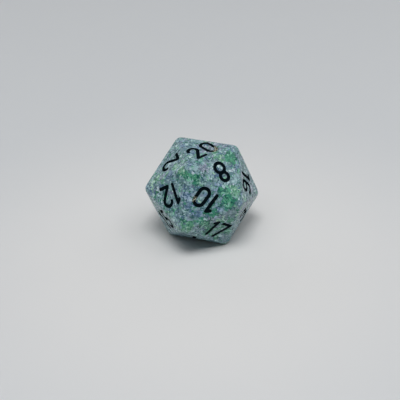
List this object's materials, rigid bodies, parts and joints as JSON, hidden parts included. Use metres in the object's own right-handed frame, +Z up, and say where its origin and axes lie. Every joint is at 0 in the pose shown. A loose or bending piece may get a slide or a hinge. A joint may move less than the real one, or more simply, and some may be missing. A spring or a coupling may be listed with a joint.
{
  "type": "polyhedral die",
  "caption": "Icosahedral gaming die with rounded edges and corners, engraved numerals on its triangular faces and a separate dried paint fill in each digit.",
  "frame": {"origin": "centre of the face numbered 1, which the die rests on", "axes": "+Z up through the face numbered 20, +Y the way the top of the numeral 20 points, +X to the right of that numeral"},
  "size_m": [0.0212, 0.0241, 0.02],
  "materials": {
    "speckled_plastic": "satin",
    "numeral_paint": "satin"
  },
  "bodies": {
    "root": {"die_body": "speckled_plastic", "ink_1": "numeral_paint", "ink_2": "numeral_paint", "ink_3": "numeral_paint", "ink_4": "numeral_paint", "ink_5": "numeral_paint", "ink_6": "numeral_paint", "ink_7": "numeral_paint", "ink_8": "numeral_paint", "ink_9": "numeral_paint", "ink_10_tens": "numeral_paint", "ink_10_units": "numeral_paint", "ink_11_tens": "numeral_paint", "ink_11_units": "numeral_paint", "ink_12_tens": "numeral_paint", "ink_12_units": "numeral_paint", "ink_13_tens": "numeral_paint", "ink_13_units": "numeral_paint", "ink_14_tens": "numeral_paint", "ink_14_units": "numeral_paint", "ink_15_tens": "numeral_paint", "ink_15_units": "numeral_paint", "ink_16_tens": "numeral_paint", "ink_16_units": "numeral_paint", "ink_17_tens": "numeral_paint", "ink_17_units": "numeral_paint", "ink_18_tens": "numeral_paint", "ink_18_units": "numeral_paint", "ink_19_tens": "numeral_paint", "ink_19_units": "numeral_paint", "ink_20_tens": "numeral_paint", "ink_20_units": "numeral_paint", "ink_6_dot": "numeral_paint", "ink_9_dot": "numeral_paint"}
  },
  "joints": []
}
